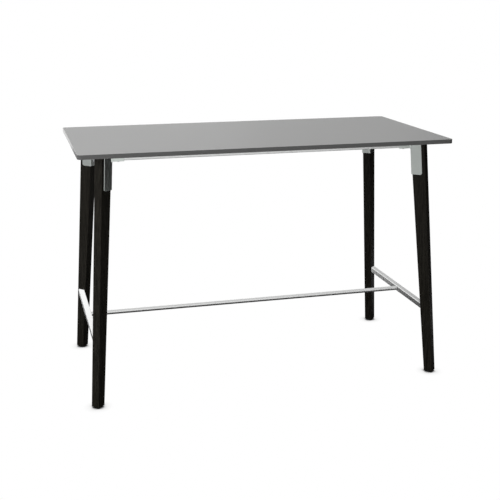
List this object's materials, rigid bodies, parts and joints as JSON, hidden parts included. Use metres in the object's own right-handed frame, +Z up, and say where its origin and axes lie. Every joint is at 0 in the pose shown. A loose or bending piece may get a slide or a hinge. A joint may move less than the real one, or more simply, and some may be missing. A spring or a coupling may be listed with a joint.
{
  "type": "standing desk",
  "caption": "Standing-height desk: grey laminate top on splayed tapered black wooden legs, silver corner brackets and under-rails, and an H-shaped foot rail; levelling glides.",
  "frame": {"origin": "floor level under the middle of the top", "axes": "+X along the length of the top, +Y to the back, +Z up; the desk is the same front and back"},
  "size_m": [1.6, 0.8, 1.08],
  "materials": {
    "laminate": "fine satin",
    "edge_band": "satin",
    "board": "raw particle board",
    "backer": "matte",
    "silver_tube": "silver satin",
    "silver_casting": "silver satin",
    "leg_wood": "black stain, satin",
    "zinc_steel": "zinc plated",
    "insert": "bare",
    "plug": "machined",
    "glide_plastic": "matte"
  },
  "bodies": {
    "table": {"top_core": "board", "top_laminate": "laminate", "top_backer": "backer", "edge_band": "edge_band", "front_rail": "silver_tube", "back_rail": "silver_tube", "left_rail": "silver_tube", "right_rail": "silver_tube", "left_foot_bar": "silver_tube", "right_foot_bar": "silver_tube", "stretcher": "silver_tube", "foot_bar_end_plugs": "plug", "stretcher_end_plugs": "plug", "foot_bar_hanger_bolts": "zinc_steel", "foot_bar_set_screws": "zinc_steel", "stretcher_bolts": "zinc_steel", "leg_bolts": "zinc_steel", "rail_screws": "zinc_steel", "top_screws": "zinc_steel", "leg_inserts": "insert", "glide_inserts": "insert", "bracket_front_left": "silver_casting", "leg_front_left": "leg_wood", "bracket_front_right": "silver_casting", "leg_front_right": "leg_wood", "bracket_back_left": "silver_casting", "leg_back_left": "leg_wood", "bracket_back_right": "silver_casting", "leg_back_right": "leg_wood"},
    "pad_front_left": {"glide_pad_front_left": "glide_plastic"},
    "stud_front_left": {"glide_stud_front_left": "zinc_steel"},
    "pad_front_right": {"glide_pad_front_right": "glide_plastic"},
    "stud_front_right": {"glide_stud_front_right": "zinc_steel"},
    "pad_back_left": {"glide_pad_back_left": "glide_plastic"},
    "stud_back_left": {"glide_stud_back_left": "zinc_steel"},
    "pad_back_right": {"glide_pad_back_right": "glide_plastic"},
    "stud_back_right": {"glide_stud_back_right": "zinc_steel"}
  },
  "joints": [
    {"name": "glide_height_front_left", "type": "slide", "parent": "table", "child": "pad_front_left", "axis": [0, 0, -1], "range_m": [0, 0.01]},
    {"name": "glide_turn_front_left", "type": "hinge", "parent": "pad_front_left", "child": "stud_front_left", "pos_m": [-0.7614, -0.3664, 0.0035], "axis": [0, 0, -1], "range_deg": [0, 2880]},
    {"name": "glide_height_front_right", "type": "slide", "parent": "table", "child": "pad_front_right", "axis": [0, 0, -1], "range_m": [0, 0.01]},
    {"name": "glide_turn_front_right", "type": "hinge", "parent": "pad_front_right", "child": "stud_front_right", "pos_m": [0.7614, -0.3664, 0.0035], "axis": [0, 0, -1], "range_deg": [0, 2880]},
    {"name": "glide_height_back_left", "type": "slide", "parent": "table", "child": "pad_back_left", "axis": [0, 0, -1], "range_m": [0, 0.01]},
    {"name": "glide_turn_back_left", "type": "hinge", "parent": "pad_back_left", "child": "stud_back_left", "pos_m": [-0.7614, 0.3664, 0.0035], "axis": [0, 0, -1], "range_deg": [0, 2880]},
    {"name": "glide_height_back_right", "type": "slide", "parent": "table", "child": "pad_back_right", "axis": [0, 0, -1], "range_m": [0, 0.01]},
    {"name": "glide_turn_back_right", "type": "hinge", "parent": "pad_back_right", "child": "stud_back_right", "pos_m": [0.7614, 0.3664, 0.0035], "axis": [0, 0, -1], "range_deg": [0, 2880]}
  ],
  "couplings": [
    {"joint": "glide_height_front_left", "follows": "glide_turn_front_left", "m_per_rad": 0.00019894},
    {"joint": "glide_height_front_right", "follows": "glide_turn_front_right", "m_per_rad": 0.00019894},
    {"joint": "glide_height_back_left", "follows": "glide_turn_back_left", "m_per_rad": 0.00019894},
    {"joint": "glide_height_back_right", "follows": "glide_turn_back_right", "m_per_rad": 0.00019894}
  ]
}
